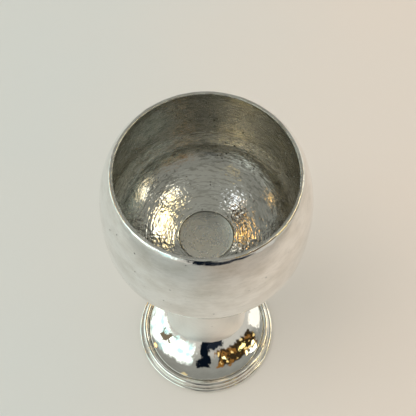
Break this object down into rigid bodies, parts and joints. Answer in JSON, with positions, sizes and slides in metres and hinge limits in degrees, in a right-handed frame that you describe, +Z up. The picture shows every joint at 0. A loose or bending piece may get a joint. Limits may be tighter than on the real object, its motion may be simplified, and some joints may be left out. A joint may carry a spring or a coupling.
{
  "type": "communion chalice",
  "caption": "Silver communion chalice with a hammered rounded bowl, slender waisted stem and flared polished foot, clamped together by a central tie rod.",
  "frame": {"origin": "middle of the resting face under the foot", "axes": "+Z up along the stem's axis; the chalice is round, so X and Y are free"},
  "size_m": [0.0886, 0.0886, 0.176],
  "materials": {
    "hammered_silver": "hand-hammered silver, bright, with fine marks and light tarnish",
    "planished_silver": "planished silver, softly reflecting, finely scratched",
    "polished_silver": "polished silver",
    "foot_silver": "mirror-polished silver with faint scratches",
    "brass_fittings": "turned brass"
  },
  "bodies": {
    "root": {"bowl": "hammered_silver", "bowl_floor_disc": "planished_silver", "bowl_seat": "polished_silver", "stem_collar": "polished_silver", "stem": "polished_silver", "neck_ring": "polished_silver", "foot": "foot_silver", "foot_moulding": "foot_silver", "foot_flange": "foot_silver", "neck_bush": "brass_fittings", "tie_rod": "brass_fittings", "pressure_plate": "brass_fittings", "clamp_nut": "brass_fittings"}
  },
  "joints": []
}
